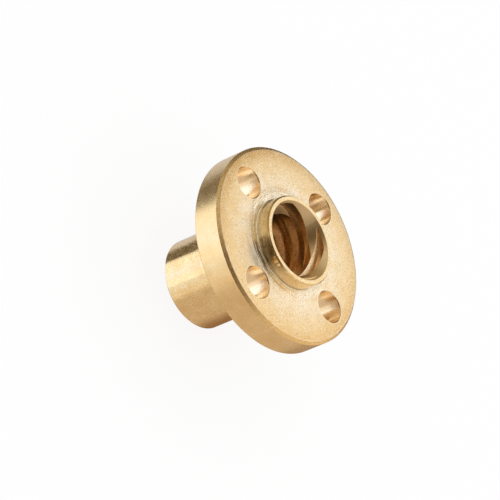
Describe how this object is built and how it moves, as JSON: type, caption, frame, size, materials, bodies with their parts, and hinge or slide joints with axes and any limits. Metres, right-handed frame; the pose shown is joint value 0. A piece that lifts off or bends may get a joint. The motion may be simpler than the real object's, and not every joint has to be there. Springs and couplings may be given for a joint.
{
  "type": "flanged lead screw nut",
  "caption": "Round flanged nut for a trapezoidal lead screw: a threaded through bore, a short boss on the flange face, bolt holes through the flange and a plain barrel behind it.",
  "frame": {"origin": "centre of the bore on the flange's seat, the face that the barrel grows from", "axes": "+Z along the bore axis, out of the boss; +X through one bolt hole; the nut stands on its barrel end"},
  "size_m": [0.022, 0.022, 0.015],
  "materials": {
    "brass": "pale satin brass, as turned, with fine grain on the flange and barrel"
  },
  "bodies": {
    "root": {"flanged_nut": "brass"}
  },
  "joints": []
}
